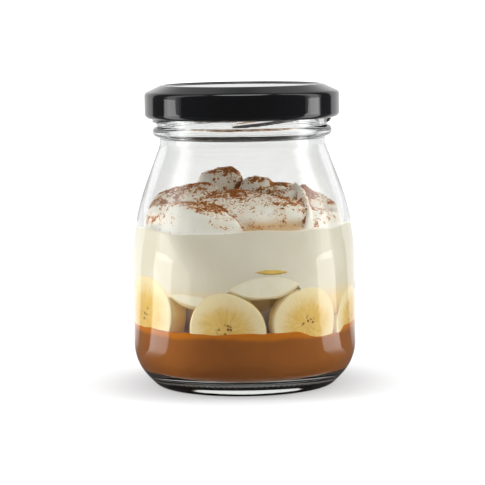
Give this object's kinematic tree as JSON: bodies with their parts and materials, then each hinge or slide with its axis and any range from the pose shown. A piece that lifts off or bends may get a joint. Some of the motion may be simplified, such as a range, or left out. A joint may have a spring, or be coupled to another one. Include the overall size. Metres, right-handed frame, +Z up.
{
  "type": "glass dessert jar",
  "caption": "Round twist-off glass jar holding a layered dessert of caramel, banana slices and cocoa-dusted cream, closed by a black metal lid.",
  "frame": {"origin": "middle of the ring that the jar stands on, at the lowest point", "axes": "+Z up along the jar's axis, -Y towards the shown front, +X to the viewer's right"},
  "size_m": [0.083, 0.083, 0.1123],
  "materials": {
    "glass": "clear gloss",
    "lid_lacquer": "gloss black lacquer",
    "gasket": "matt",
    "banana": "moist",
    "caramel": "smooth, slightly translucent",
    "cream": "soft, whipped"
  },
  "bodies": {
    "root": {"glass_jar": "glass", "lid": "lid_lacquer", "lid_gasket": "gasket", "banana_front": "banana", "banana_front_right": "banana", "banana_right": "banana", "banana_back_right": "banana", "banana_back": "banana", "banana_back_left": "banana", "banana_left": "banana", "banana_front_left": "banana", "banana_behind_left": "banana", "banana_top_front": "banana", "banana_top_left": "banana", "banana_top_right": "banana", "banana_top_back_right": "banana", "banana_top_back": "banana", "banana_top_back_left": "banana", "banana_top_far_left": "banana", "banana_golden": "banana", "caramel": "caramel", "cream": "cream"}
  },
  "joints": []
}
